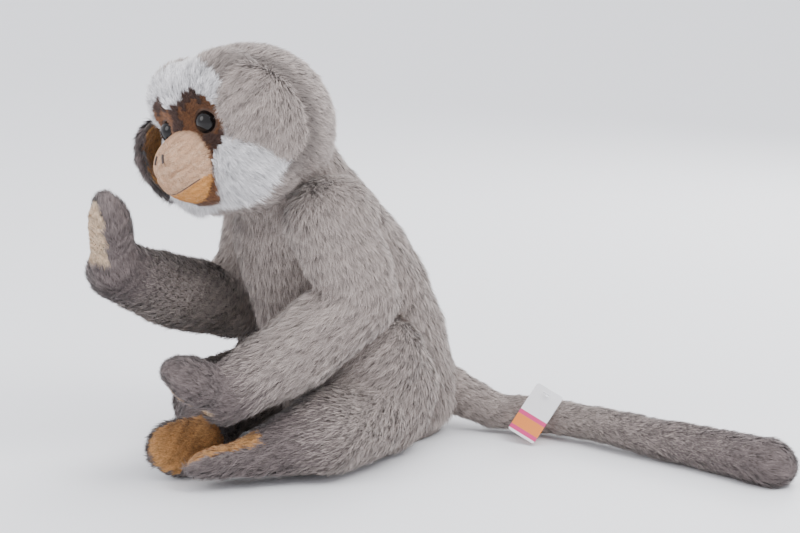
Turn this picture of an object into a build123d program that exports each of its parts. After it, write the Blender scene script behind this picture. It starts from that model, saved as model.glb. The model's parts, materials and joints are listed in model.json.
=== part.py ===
from build123d import *
import math
import os

# A sitting plush monkey with a wired frame, a long tail and a swing tag.
# +Z is up, the monkey faces -Y and its left side is +X.
# The origin is the bottom centre of the flat seat.

# Driving dimensions, in millimetres and degrees
head_centre = (0, -116, 291)
head_radius = 68
head_pitch = 2
head_roll = 16
neck_tilt = 45

skin = 4.5
gap = 0.6
fit = 0.3
wire_radius = 1.6

hip_axis_y = -20
hip_axis_z = 58
hip_face_x = 50
thigh_radius = 56
thigh_bulge = 47

# knee, ankle and toe of each leg, the right leg's before it is mirrored
left_leg = ((80, -96, 37), (60, -158, 29), (42, -203, 27.5))
right_leg = ((70, -102, 37), (6, -165, 29), (9, -213, 27.5))

shoulder_ball = 31
elbow_ball = 29
wrist_ball = 17
left_shoulder = (71, -84, 226)
left_elbow = (92, -64, 156)
left_wrist = (46, -176, 80)
left_hand_tip = (44, -224, 122)
right_shoulder = (-71, -84, 226)
right_elbow = (-92, -91, 131)
right_wrist = (-46, -223, 180)
right_hand_tip = (-46, -232, 243)

tail_radius = 17
tail_root = (30, 92, 36)
tail_path = [tail_root, (70, 114, 20), (112, 139, 18.5), (163, 152, 18.5)]
tail_mid = tail_path[-1]
tail_tip_path = [tail_mid, (215, 158, 18.5), (290, 170, 18.5), (362, 177, 18.5)]

eye_radius = 9.5
ear_radius = 33
ear_bowl = 50
ear_height = {1: 15, -1: 2}
tag_width = 29
tag_length = 50
tag_thick = 1.2
tag_slant = (0.9029, 0.2357, -0.3593)
tag_facing = (0.3994, -0.7689, 0.4993)
tag_place = (124, 115, 27)

# Torso sections: height, centre in Y, half width in X, half depth in Y
torso_sections = [
    (0, 30, 46, 62),
    (28, 22, 64, 83),
    (85, 10, 64, 86),
    (145, -12, 54, 82),
    (200, -40, 46, 74),
    (238, -56, 42, 58),
    (262, -64, 32, 42),
]

os.makedirs("parts", exist_ok=True)


def along(a, b, distance):
    """The point at a distance from a towards b."""
    start = Vector(*a)
    return start + (Vector(*b) - start).normalized() * distance


def length(a, b):
    return (Vector(*b) - Vector(*a)).length


def axis_plane(origin, direction):
    """A plane whose Y axis runs along a direction, for profiles turned about it."""
    y_dir = Vector(*direction).normalized()
    helper = Vector(0, 0, 1) if abs(y_dir.Z) < 0.9 else Vector(1, 0, 0)
    x_dir = y_dir.cross(helper).normalized()
    return Plane(origin=Vector(*origin), x_dir=x_dir, z_dir=x_dir.cross(y_dir))


def ball(centre, radius):
    with BuildPart() as solid:
        with Locations(Vector(*centre)):
            Sphere(radius)
    return solid.part


def turned(origin, direction, outline):
    """A solid turned about an axis from (radius, distance) points."""
    plane = axis_plane(origin, direction)
    first = (0, outline[0][1])
    last = (0, outline[-1][1])
    with BuildPart() as solid:
        with BuildSketch(plane):
            with BuildLine():
                Polyline(first, *outline, last, close=True)
            make_face()
        revolve(axis=Axis(plane.origin, plane.y_dir))
    return solid.part


def ellipsoid(origin, direction, side, reach):
    """An ellipsoid of revolution, its long axis along a direction."""
    plane = axis_plane(origin, direction)
    with BuildPart() as solid:
        with BuildSketch(plane):
            Ellipse(side, reach)
            with Locations((-side, 0)):
                Rectangle(2 * side, 3 * reach, mode=Mode.SUBTRACT)
        revolve(axis=Axis(plane.origin, plane.y_dir))
    return solid.part


def rod(a, b, radius):
    return turned(a, Vector(*b) - Vector(*a), [(radius, 0), (radius, length(a, b))])


def write(part, name):
    part.label = name
    export_step(part, "parts/" + name + ".step")


# ---- head frame ----
roll = math.radians(head_roll)
pitch = math.radians(head_pitch)
head_left = Vector(math.cos(roll), 0, math.sin(roll))
rolled_up = Vector(-math.sin(roll), 0, math.cos(roll))
level_front = Vector(0, -1, 0)
head_front = level_front * math.cos(pitch) - rolled_up * math.sin(pitch)
head_up = rolled_up * math.cos(pitch) + level_front * math.sin(pitch)
face_plane = Plane(origin=Vector(*head_centre), x_dir=head_left, z_dir=head_front)
neck_down = Vector(0, math.sin(math.radians(neck_tilt)), -math.cos(math.radians(neck_tilt)))


def on_head(x, front, up):
    """A point given in the head's own directions: left, front and up."""
    return Vector(*head_centre) + head_left * x + head_front * front + head_up * up


def neck_point(distance):
    return Vector(*head_centre) + neck_down * distance


# ---- torso ----
def torso_solid(inset):
    """The torso's outline, moved inwards by an inset."""
    with BuildPart() as solid:
        for number, (z, y, half_x, half_y) in enumerate(torso_sections):
            height = z + inset if number == 0 else z
            height = z - inset if number == len(torso_sections) - 1 else height
            with BuildSketch(Plane((0, y, height))):
                Ellipse(half_x - inset, half_y - inset)
        loft()
        # flat sides where the hip discs turn
        for side in (-1, 1):
            with Locations((side * (hip_face_x - inset + 60), -62, 60)):
                Box(120, 270, 140, mode=Mode.SUBTRACT)
        for shoulder in (left_shoulder, right_shoulder):
            with Locations(shoulder):
                Sphere(shoulder_ball + gap + inset, mode=Mode.SUBTRACT)
        with Locations(Vector(*head_centre)):
            Sphere(head_radius + gap + skin + gap + inset, mode=Mode.SUBTRACT)
        # a flared hollow that the tail's root turns in
        flare = [(19 + inset, -20 - inset), (19 + inset, 0), (36 + inset, 30), (62 + inset, 64)]
        add(turned(tail_root, Vector(*tail_path[1]) - Vector(*tail_root), flare), mode=Mode.SUBTRACT)
        add(rod(neck_point(60), neck_point(96 + inset), 26 + inset), mode=Mode.SUBTRACT)
    return solid.part


pellet_centre = (0, 36, 34)
shoulder_wire_ends = ((-30, -62, 196), (30, -62, 196))
hip_disc_x = hip_face_x - skin - 1.2

with BuildPart() as torso_skin:
    add(torso_solid(0))
    add(torso_solid(skin), mode=Mode.SUBTRACT)
    for side in (-1, 1):
        with Locations(Location((side * hip_face_x, hip_axis_y, hip_axis_z), (0, 90, 0))):
            Cylinder(3, 16, mode=Mode.SUBTRACT)
write(torso_skin.part, "torso_skin")

with BuildPart() as seat_pellet_bag:
    add(ellipsoid(pellet_centre, (1, 0, 0), 24, 34))
write(seat_pellet_bag.part, "seat_pellet_bag")

with BuildPart() as shoulder_wire:
    add(rod(shoulder_wire_ends[0], shoulder_wire_ends[1], wire_radius))
write(shoulder_wire.part, "shoulder_wire")

with BuildPart() as hip_washers:
    for side in (-1, 1):
        with Locations(Location((side * hip_disc_x, hip_axis_y, hip_axis_z), (0, 90, 0))):
            Cylinder(10, 1.6)
            Cylinder(2.4, 4, mode=Mode.SUBTRACT)
write(hip_washers.part, "hip_washers")

with BuildPart() as torso_filling:
    add(torso_solid(skin + fit))
    add(ellipsoid(pellet_centre, (1, 0, 0), 24 + fit, 34 + fit), mode=Mode.SUBTRACT)
    add(rod(along(shoulder_wire_ends[0], shoulder_wire_ends[1], -1),
            along(shoulder_wire_ends[1], shoulder_wire_ends[0], -1), wire_radius + fit),
        mode=Mode.SUBTRACT)
    for side in (-1, 1):
        with Locations(Location((side * (hip_disc_x - 3), hip_axis_y, hip_axis_z), (0, 90, 0))):
            Cylinder(11, 12, mode=Mode.SUBTRACT)
write(torso_filling.part, "torso_filling")

# ---- neck: a sewn cup under the head, held by the head's stud and a lock washer ----
cup_inner = head_radius + gap
cup_outer = cup_inner + skin - 1
with BuildPart() as neck_skin:
    add(ball(head_centre, cup_outer))
    add(ball(head_centre, cup_inner), mode=Mode.SUBTRACT)
    add(turned(head_centre, neck_down, [(0.1, 32), (42, 63), (42, 90), (0.1, 90)]),
        mode=Mode.INTERSECT)
    add(rod(neck_point(50), neck_point(90), 4), mode=Mode.SUBTRACT)
write(neck_skin.part, "neck_skin")

with BuildPart() as neck_lock_washer:
    add(rod(neck_point(cup_outer + 0.2), neck_point(cup_outer + 2.2), 10))
    add(rod(neck_point(50), neck_point(100), 3.4), mode=Mode.SUBTRACT)
write(neck_lock_washer.part, "neck_lock_washer")

with BuildPart() as neck_stud_disc:
    add(rod(neck_point(head_radius - skin - 5.5), neck_point(head_radius - skin - 3.5), 16))
    add(rod(neck_point(head_radius - skin - 5.5), neck_point(cup_outer + 6), 3))
write(neck_stud_disc.part, "neck_stud_disc")

# ---- head shell, cut into its sewn panels ----
muzzle_base = on_head(0, 42, -16)
muzzle_side = 33
muzzle_reach = 56


def muzzle(grow):
    return ellipsoid(muzzle_base, head_front, muzzle_side + grow, muzzle_reach + grow)


def face_prism(shape):
    """A panel outline on the face plane, pushed forwards through the head."""
    with BuildPart() as solid:
        with BuildSketch(face_plane):
            shape()
        extrude(amount=head_radius + 60)
    return solid.part


def mask_outline():
    for side in (-1, 1):
        with Locations((side * 20, 13)):
            Ellipse(24, 22)
    with Locations((0, 2)):
        Rectangle(40, 30)


def brow_outline():
    with Locations((0, 36)):
        Ellipse(38, 27)


def ruff_outline():
    with Locations((0, -6)):
        Ellipse(63, 58)
    with Locations((0, 46)):
        Rectangle(140, 60, mode=Mode.SUBTRACT)


def chin_outline():
    with Locations((0, -46)):
        Rectangle(60, 22)


def head_shell():
    with BuildPart() as solid:
        add(ball(head_centre, head_radius))
        add(ball(head_centre, head_radius - skin), mode=Mode.SUBTRACT)
        add(muzzle(0), mode=Mode.SUBTRACT)
    return solid.part


mask_prism = face_prism(mask_outline)
brow_prism = face_prism(brow_outline)
ruff_prism = face_prism(ruff_outline)
chin_prism = face_prism(chin_outline)
eye_shank = 2.2


def eye_direction(side):
    return (head_left * (side * 26) + head_front * 59 + head_up * 18).normalized()


def eye_point(side, distance):
    return Vector(*head_centre) + eye_direction(side) * distance


shank_holes = [rod(eye_point(side, 40), eye_point(side, 80), eye_shank + 0.2) for side in (-1, 1)]

with BuildPart() as face_mask:
    add(head_shell())
    add(mask_prism, mode=Mode.INTERSECT)
    add(shank_holes, mode=Mode.SUBTRACT)
write(face_mask.part, "face_mask")

with BuildPart() as brow_band:
    add(head_shell())
    add(brow_prism, mode=Mode.INTERSECT)
    add(mask_prism, mode=Mode.SUBTRACT)
write(brow_band.part, "brow_band")

with BuildPart() as cheek_ruff:
    add(head_shell())
    add(ruff_prism, mode=Mode.INTERSECT)
    add(mask_prism, mode=Mode.SUBTRACT)
    add(brow_prism, mode=Mode.SUBTRACT)
write(cheek_ruff.part, "cheek_ruff")

with BuildPart() as head_skin:
    add(head_shell())
    add(mask_prism, mode=Mode.SUBTRACT)
    add(brow_prism, mode=Mode.SUBTRACT)
    add(ruff_prism, mode=Mode.SUBTRACT)
    add(rod(neck_point(40), neck_point(90), 4), mode=Mode.SUBTRACT)
write(head_skin.part, "head_skin")


def muzzle_shell():
    with BuildPart() as solid:
        add(muzzle(0))
        add(muzzle(-3), mode=Mode.SUBTRACT)
        add(ball(head_centre, head_radius - skin), mode=Mode.SUBTRACT)
    return solid.part


with BuildPart() as muzzle_skin:
    add(muzzle_shell())
    add(chin_prism, mode=Mode.SUBTRACT)
write(muzzle_skin.part, "muzzle_skin")

with BuildPart() as chin_panel:
    add(muzzle_shell())
    add(chin_prism, mode=Mode.INTERSECT)
write(chin_panel.part, "chin_panel")


def nostril_outline():
    for side in (-1, 1):
        with Locations(Location((side * 5, -2), side * 18)):
            SlotOverall(6.5, 2.2, rotation=90)


def mouth_outline():
    with Locations((0, -27)):
        Rectangle(34, 1.6)


for name, outline in (("nostril_stitches", nostril_outline), ("mouth_stitch", mouth_outline)):
    with BuildPart() as stitch:
        add(muzzle(0.9))
        add(muzzle(0), mode=Mode.SUBTRACT)
        add(face_prism(outline), mode=Mode.INTERSECT)
    write(stitch.part, name)

eye_outline = [(eye_radius, 0), (9.1, 2.4), (7.8, 4.6), (5.4, 6.3), (2.2, 7.2)]

for name, side in (("left_eye", 1), ("right_eye", -1)):
    with BuildPart() as eye:
        add(turned(eye_point(side, head_radius + 0.05), eye_direction(side), eye_outline))
        add(rod(eye_point(side, head_radius - 13), eye_point(side, head_radius + 2), eye_shank))
    write(eye.part, name)

washer_at = head_radius - skin - 2.2
with BuildPart() as eye_washers:
    for side in (-1, 1):
        add(rod(eye_point(side, washer_at - 1), eye_point(side, washer_at + 1), 7.5))
        add(rod(eye_point(side, 40), eye_point(side, 80), eye_shank + 0.2), mode=Mode.SUBTRACT)
    add(muzzle(0), mode=Mode.SUBTRACT)
write(eye_washers.part, "eye_washers")

with BuildPart() as head_filling:
    add(ball(head_centre, head_radius - skin - fit))
    add(muzzle(-3 - fit))
    for side in (-1, 1):
        add(rod(eye_point(side, head_radius - 14), eye_point(side, 80), 8), mode=Mode.SUBTRACT)
    add(rod(neck_point(head_radius - skin - 6), neck_point(90), 17), mode=Mode.SUBTRACT)
write(head_filling.part, "head_filling")


# ---- ears: a furry back and a plush lining, each a shallow bowl ----
def ear_frame(side):
    """The ear's middle and the way its furry back faces."""
    middle = on_head(side * 66, 35, ear_height[side])
    outward = (head_left * side * 0.92 + head_front * 0.39).normalized()
    return middle, outward


def bowl(middle, outward, rim, outer, thickness):
    """A round patch of a ball's shell, bulging outwards at its middle."""
    plane = axis_plane(middle - outward * outer, outward)
    inner = outer - thickness
    half_rim = rim / 2
    outer_edge = (rim, math.sqrt(outer**2 - rim**2))
    inner_edge = (rim, math.sqrt(inner**2 - rim**2))
    with BuildPart() as solid:
        with BuildSketch(plane):
            with BuildLine():
                Line((0, inner), (0, outer))
                ThreePointArc((0, outer), (half_rim, math.sqrt(outer**2 - half_rim**2)), outer_edge)
                Line(outer_edge, inner_edge)
                ThreePointArc(inner_edge, (half_rim, math.sqrt(inner**2 - half_rim**2)), (0, inner))
            make_face()
        revolve(axis=Axis(plane.origin, plane.y_dir))
        add(ball(head_centre, head_radius + 0.05), mode=Mode.SUBTRACT)
    return solid.part


for name, side in (("left", 1), ("right", -1)):
    middle, outward = ear_frame(side)
    write(bowl(middle, outward, ear_radius, ear_bowl, 3), name + "_ear_back")
    write(bowl(middle - outward * 3, outward, ear_radius - 3, ear_bowl - 3, 2), name + "_ear_lining")


# ---- arms: links with a ball at the upper joint and a cup at the lower one ----
def limb(start, end, ball_radius, outline, cup_radius, inset):
    """A limb's outline: ball, then (radius, distance) points, then the cup of the next ball."""
    shrunk = [(radius - inset, distance) for radius, distance in outline]
    with BuildPart() as solid:
        add(turned(start, Vector(*end) - Vector(*start), shrunk))
        add(ball(start, ball_radius - inset))
        add(ball(end, cup_radius + gap + inset), mode=Mode.SUBTRACT)
    return solid.part


def write_limb(name, start, end, ball_radius, outline, cup_radius):
    run = length(start, end)
    wire_start = along(start, end, -8)
    wire_end = along(start, end, run - cup_radius - skin - 4)
    with BuildPart() as limb_skin:
        add(limb(start, end, ball_radius, outline, cup_radius, 0))
        add(limb(start, end, ball_radius, outline, cup_radius, skin), mode=Mode.SUBTRACT)
    write(limb_skin.part, name + "_skin")
    with BuildPart() as limb_wire:
        add(rod(wire_start, wire_end, wire_radius))
    write(limb_wire.part, name + "_wire")
    with BuildPart() as limb_filling:
        add(limb(start, end, ball_radius, outline, cup_radius, skin + fit))
        add(rod(along(wire_start, wire_end, -1), along(wire_end, wire_start, -1),
                wire_radius + fit), mode=Mode.SUBTRACT)
    write(limb_filling.part, name + "_filling")


def write_arm(side, shoulder, elbow, wrist):
    upper = length(shoulder, elbow)
    fore = length(elbow, wrist)
    upper_outline = [(25, 0), (25, 22), (31, 34), (31, upper - 42), (16, upper - 25), (16, upper - 6)]
    fore_outline = [(17, 0), (17, 25), (28, 44), (25, fore - 28), (11, fore - 14), (11, fore - 4)]
    write_limb(side + "_upper_arm", shoulder, elbow, shoulder_ball, upper_outline, elbow_ball)
    write_limb(side + "_forearm", elbow, wrist, elbow_ball, fore_outline, wrist_ball)


write_arm("left", left_shoulder, left_elbow, left_wrist)
write_arm("right", right_shoulder, right_elbow, right_wrist)


# ---- hands: padded paddles, with a plush palm on the inner face ----
def paddle(plane, reach, half_length, half_width, half_thick, inset):
    """A rounded pad lying on a plane, its middle at a reach along the plane's Y."""
    with BuildPart() as solid:
        with BuildSketch(plane):
            with Locations((0, reach)):
                SlotOverall(2 * (half_length - inset), 2 * (half_width - inset), rotation=90)
        extrude(amount=half_thick - inset, both=True)
        fillet(solid.edges(), half_thick - inset - 1.5)
    return solid.part


def patch(plane, reach, half_length, half_width, half_thick):
    """A plush patch lying on the pad's upper face."""
    with BuildPart() as solid:
        with BuildSketch(plane.offset(half_thick + 0.02)):
            with Locations((0, reach)):
                Ellipse(half_width, half_length)
        extrude(amount=1.5)
    return solid.part


def hand_plane(wrist, tip, palm_way):
    y_dir = (Vector(*tip) - Vector(*wrist)).normalized()
    x_dir = y_dir.cross(Vector(*palm_way)).normalized()
    return Plane(origin=Vector(*wrist), x_dir=x_dir, z_dir=x_dir.cross(y_dir))


def write_hand(side, wrist, tip, palm_way):
    plane = hand_plane(wrist, tip, palm_way)
    for name, inset in (("_hand_skin", 0), ("_hand_filling", 4 + fit)):
        with BuildPart() as hand:
            add(paddle(plane, 35, 30, 23, 11, inset))
            add(ball(wrist, wrist_ball - inset))
            if inset == 0:
                add(paddle(plane, 35, 30, 23, 11, 4), mode=Mode.SUBTRACT)
                add(ball(wrist, wrist_ball - 4), mode=Mode.SUBTRACT)
        write(hand.part, side + name)
    write(patch(plane, 38, 19, 13, 11), side + "_palm")


write_hand("left", left_wrist, left_hand_tip, (-0.45, -0.6, -0.65))
write_hand("right", right_wrist, right_hand_tip, (-0.3, -0.95, 0))


# ---- legs: a round thigh on a hip disc, a bent shin and a foot pad ----
thigh_outline = [(thigh_radius, 0), (thigh_radius, 14), (thigh_radius * 0.86, 32),
                 (thigh_radius * 0.55, thigh_bulge - 4), (thigh_radius * 0.3, thigh_bulge)]
leg_face_x = hip_face_x + gap
lap_middle = (71, -22, 97)
lap_radius = 28
leg_skin_thick = skin - 0.5


def foot_plane(ankle, toe):
    y_dir = (Vector(*toe) - Vector(*ankle)).normalized()
    x_dir = y_dir.cross(Vector(-0.8, -0.1, 0.58)).normalized()
    return Plane(origin=Vector(*ankle), x_dir=x_dir, z_dir=x_dir.cross(y_dir))


def leg_solid(points, inset):
    knee, ankle, toe = points
    face = leg_face_x + inset
    thigh = [(radius - inset, distance - 2 * inset * (distance > 0))
             for radius, distance in thigh_outline]
    with BuildPart() as solid:
        add(turned((face, hip_axis_y, hip_axis_z), (1, 0, 0), thigh))
        add(ball(lap_middle, lap_radius - inset))
        add(rod((76, -44, 46), knee, 33 - inset))
        add(ball(knee, 36 - inset))
        shin = length(knee, ankle)
        add(turned(knee, Vector(*ankle) - Vector(*knee), [(33 - inset, 0), (17 - inset, shin)]))
        add(ball(ankle, 18 - inset))
        with Locations((face - 100, -15, 60)):
            Box(200, 180, 200, mode=Mode.SUBTRACT)
        add(paddle(foot_plane(ankle, toe), 26, 32, 24, 11, inset))
    return solid.part


def hip_cylinder(x, radius, height):
    return rod((x - height / 2, hip_axis_y, hip_axis_z), (x + height / 2, hip_axis_y, hip_axis_z), radius)


def write_side(part, name, mirrored):
    write(mirror(part, about=Plane.YZ) if mirrored else part, name)


for name, points, mirrored in (("left", left_leg, False), ("right", right_leg, True)):
    with BuildPart() as leg_skin:
        add(leg_solid(points, 0))
        add(leg_solid(points, leg_skin_thick), mode=Mode.SUBTRACT)
        add(hip_cylinder(hip_face_x, 3, 16), mode=Mode.SUBTRACT)
    write_side(leg_skin.part, name + "_leg_skin", mirrored)
    with BuildPart() as leg_filling:
        add(leg_solid(points, leg_skin_thick + fit + 0.1))
        add(hip_cylinder(hip_face_x + 6, 16, 8), mode=Mode.SUBTRACT)
    write_side(leg_filling.part, name + "_leg_filling", mirrored)
    with BuildPart() as hip_disc:
        add(hip_cylinder(leg_face_x + skin + 0.8, 15, 1.6))
        add(hip_cylinder(hip_face_x, 2, 13))
    write_side(hip_disc.part, name + "_hip_disc", mirrored)
    sole = patch(foot_plane(*points[1:]), 34, 18, 14, 11)
    write_side(sole, name + "_foot_sole", mirrored)


# ---- tail: two wired lengths with a bend between them ----
def tube(points, radius, cup=None):
    with BuildPart() as solid:
        for a, b in zip(points, points[1:]):
            add(rod(a, b, radius))
        for point in points[:-1]:
            add(ball(point, radius))
        if cup is None:
            add(ball(points[-1], radius))
        else:
            add(ball(points[-1], cup), mode=Mode.SUBTRACT)
    return solid.part


def write_tail(name, points, cup):
    """A tail length: its furry skin, its filling and the wire inside."""
    wire_points = [along(points[0], points[1], -6), *points[1:-1],
                   along(points[-1], points[-2], 34)]
    cups = [None if cup is None else cup + inset for inset in (0, skin, skin + fit)]
    with BuildPart() as tail_skin:
        add(tube(points, tail_radius, cups[0]))
        add(tube(points, tail_radius - skin, cups[1]), mode=Mode.SUBTRACT)
    write(tail_skin.part, name + "_skin")
    with BuildPart() as tail_wire:
        add(tube(wire_points, wire_radius))
    write(tail_wire.part, name + "_wire")
    with BuildPart() as tail_filling:
        add(tube(points, tail_radius - skin - fit, cups[2]))
        add(tube(wire_points, wire_radius + fit), mode=Mode.SUBTRACT)
    write(tail_filling.part, name + "_filling")


write_tail("tail_base", tail_path, tail_radius + gap)
write_tail("tail_tip", tail_tip_path, None)

# ---- swing tag leaning on the tail, with its plastic tie ----
tag_plane = Plane(origin=Vector(*tag_place), x_dir=tag_slant, z_dir=tag_facing)
hole_y = tag_length / 2 - 5
with BuildPart() as tag_card:
    with BuildSketch(tag_plane):
        RectangleRounded(tag_width, tag_length, 2)
        with Locations((0, hole_y)):
            Circle(1.6, mode=Mode.SUBTRACT)
    extrude(amount=tag_thick)
write(tag_card.part, "tag_card")

tie_back = tag_plane.from_local_coords((0, hole_y, -12))
tie_front = tag_plane.from_local_coords((0, hole_y, 3))
with BuildPart() as tag_fastener:
    add(rod(tie_back, tie_front, 0.8))
    add(rod(tie_front, tag_plane.from_local_coords((0, hole_y, 4)), 3))
write(tag_fastener.part, "tag_fastener")
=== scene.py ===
import bpy
import bmesh
import json
import math
import numpy as np
from mathutils import Matrix, Vector


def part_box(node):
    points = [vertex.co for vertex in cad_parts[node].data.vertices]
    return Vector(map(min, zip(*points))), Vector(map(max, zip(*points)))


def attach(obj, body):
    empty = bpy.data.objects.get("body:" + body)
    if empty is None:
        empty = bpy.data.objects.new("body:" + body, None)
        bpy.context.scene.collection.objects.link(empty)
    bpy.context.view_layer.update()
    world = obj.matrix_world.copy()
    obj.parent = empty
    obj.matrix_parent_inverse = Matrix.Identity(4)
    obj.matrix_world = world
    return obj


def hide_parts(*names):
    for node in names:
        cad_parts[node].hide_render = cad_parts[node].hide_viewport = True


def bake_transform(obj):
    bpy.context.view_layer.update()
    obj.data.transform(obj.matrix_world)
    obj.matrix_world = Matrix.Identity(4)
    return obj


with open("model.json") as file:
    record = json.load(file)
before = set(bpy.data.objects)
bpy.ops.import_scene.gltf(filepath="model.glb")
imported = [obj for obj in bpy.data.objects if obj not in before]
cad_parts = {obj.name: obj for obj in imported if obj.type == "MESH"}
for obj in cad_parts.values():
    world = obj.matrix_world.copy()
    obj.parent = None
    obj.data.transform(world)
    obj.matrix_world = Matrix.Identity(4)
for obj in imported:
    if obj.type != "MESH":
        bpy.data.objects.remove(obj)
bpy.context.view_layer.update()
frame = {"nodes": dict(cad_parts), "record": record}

MM = 0.001
SIGN = {"left": 1, "right": -1}
JOINTS = {j["name"]: Vector(j["pos_m"]) for j in frame["record"]["behaviour"]["joints"]}
HEAD = JOINTS["head_turn"]
ROLL = math.radians(16)
PITCH = math.radians(2)
LEFT = Vector((math.cos(ROLL), 0, math.sin(ROLL)))
ROLLED_UP = Vector((-math.sin(ROLL), 0, math.cos(ROLL)))
FRONT = Vector((0, -1, 0)) * math.cos(PITCH) - ROLLED_UP * math.sin(PITCH)
UP = ROLLED_UP * math.cos(PITCH) + Vector((0, -1, 0)) * math.sin(PITCH)
HEAD_BASIS = Matrix((LEFT, -FRONT, UP)).transposed()


def at_head(x, front, up):
    """A point in the head's own directions, given in millimetres."""
    return HEAD + (LEFT * x + FRONT * front + UP * up) * MM


def in_head(points):
    """Points as head coordinates in millimetres: left, front, up."""
    rel = (points - np.array(HEAD)) / MM
    return rel @ np.array([LEFT, FRONT, UP]).T


# ------------------------ materials
def new_material(name):
    mat = bpy.data.materials.new(name)
    mat.use_nodes = True
    nodes = mat.node_tree.nodes
    return mat, nodes, mat.node_tree.links, nodes["Principled BSDF"]


def fur_material(name, root, tip, rough=0.75, sheen=0.25):
    """Pile: darker at the root, lighter at the tip, each strand a shade of its own."""
    mat, nodes, links, shader = new_material(name)
    uv = nodes.new("ShaderNodeUVMap")
    uv.uv_map = "OFBake"
    split = nodes.new("ShaderNodeSeparateXYZ")
    links.new(uv.outputs[0], split.inputs[0])
    along = add_mix(nodes, links, split.outputs["Y"], root, tip)
    shade = nodes.new("ShaderNodeMapRange")
    shade.inputs["To Min"].default_value = 0.42
    shade.inputs["To Max"].default_value = 1.42
    links.new(split.outputs["X"], shade.inputs["Value"])
    tint = nodes.new("ShaderNodeVectorMath")
    tint.operation = "SCALE"
    links.new(along, tint.inputs[0])
    links.new(shade.outputs["Result"], tint.inputs["Scale"])
    links.new(tint.outputs[0], shader.inputs["Base Color"])
    shader.inputs["Roughness"].default_value = rough
    shader.inputs["Sheen Weight"].default_value = sheen
    shader.inputs["Sheen Roughness"].default_value = 0.5
    shader.inputs["Specular IOR Level"].default_value = 0.25
    return mat


def add_noise(nodes, scale, detail=2):
    noise = nodes.new("ShaderNodeTexNoise")
    noise.inputs["Scale"].default_value = scale
    noise.inputs["Detail"].default_value = detail
    return noise


def add_mix(nodes, links, factor, first, second):
    """A colour between two colours."""
    mix = nodes.new("ShaderNodeMix")
    mix.data_type = "RGBA"
    mix.inputs["A"].default_value = (*first, 1)
    mix.inputs["B"].default_value = (*second, 1)
    links.new(factor, mix.inputs["Factor"])
    return mix.outputs["Result"]


def cloth_material(name, dark, light, scale, bump, rough=0.9, sheen=0.3):
    """A backing cloth or velour: mottled colour and a fine nap."""
    mat, nodes, links, shader = new_material(name)
    coords = nodes.new("ShaderNodeTexCoord")
    noise = add_noise(nodes, scale, 6)
    links.new(coords.outputs["Object"], noise.inputs["Vector"])
    links.new(add_mix(nodes, links, noise.outputs["Fac"], dark, light), shader.inputs["Base Color"])
    fine = add_noise(nodes, scale * 9, 3)
    links.new(coords.outputs["Object"], fine.inputs["Vector"])
    relief = nodes.new("ShaderNodeBump")
    relief.inputs["Strength"].default_value = bump
    relief.inputs["Distance"].default_value = 0.0006
    links.new(fine.outputs["Fac"], relief.inputs["Height"])
    links.new(relief.outputs["Normal"], shader.inputs["Normal"])
    shader.inputs["Roughness"].default_value = rough
    shader.inputs["Sheen Weight"].default_value = sheen
    return mat


GREY = fur_material("grey pile", (0.115, 0.09, 0.08), (0.54, 0.465, 0.425))
DARK = fur_material("dark pile", (0.055, 0.043, 0.042), (0.27, 0.22, 0.212))
WHITE = fur_material("white pile", (0.55, 0.53, 0.54), (0.93, 0.92, 0.93))
BROWN = fur_material("brown pile", (0.05, 0.018, 0.008), (0.26, 0.11, 0.045))
UMBER = fur_material("dark brown pile", (0.02, 0.01, 0.008), (0.09, 0.045, 0.032))
ORANGE = fur_material("orange pile", (0.25, 0.09, 0.02), (0.72, 0.40, 0.16))
CREAM = fur_material("cream pile", (0.5, 0.33, 0.2), (0.85, 0.68, 0.5))
GREY_CLOTH = cloth_material("grey backing", (0.17, 0.145, 0.13), (0.28, 0.24, 0.22), 180, 0.6)
DARK_CLOTH = cloth_material("dark backing", (0.06, 0.05, 0.045), (0.11, 0.09, 0.085), 180, 0.6)
WHITE_CLOTH = cloth_material("white backing", (0.62, 0.6, 0.6), (0.78, 0.77, 0.77), 180, 0.5)
BROWN_CLOTH = cloth_material("brown backing", (0.04, 0.018, 0.01), (0.11, 0.05, 0.025), 180, 0.6)
ORANGE_CLOTH = cloth_material("orange plush", (0.42, 0.19, 0.055), (0.66, 0.36, 0.13), 150, 0.8)
CREAM_CLOTH = cloth_material("cream plush", (0.66, 0.48, 0.31), (0.82, 0.66, 0.48), 150, 0.8)
SUEDE = cloth_material("tan suede", (0.42, 0.25, 0.15), (0.74, 0.53, 0.37), 160, 0.9)
CHIN = cloth_material("orange tan suede", (0.50, 0.22, 0.06), (0.68, 0.37, 0.13), 130, 0.7)
THREAD = cloth_material("dark thread", (0.02, 0.012, 0.01), (0.06, 0.035, 0.025), 900, 0.6)


# ------------------------ mesh building
def link_object(name, mesh):
    obj = bpy.data.objects.new(name, mesh)
    bpy.context.scene.collection.objects.link(obj)
    return obj


def from_bmesh(name, bm, smooth=True):
    """An object from a bmesh, which is freed."""
    mesh = bpy.data.meshes.new(name)
    bm.to_mesh(mesh)
    bm.free()
    mesh.polygons.foreach_set("use_smooth", [smooth] * len(mesh.polygons))
    return link_object(name, mesh)


def add_ball(bm, centre, radii, basis=None):
    turn = (basis or Matrix.Identity(3)).to_4x4()
    scale = Matrix.Diagonal((*radii, 1))
    matrix = Matrix.Translation(centre) @ turn @ scale
    bmesh.ops.create_icosphere(bm, subdivisions=4, radius=1, matrix=matrix)


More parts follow.
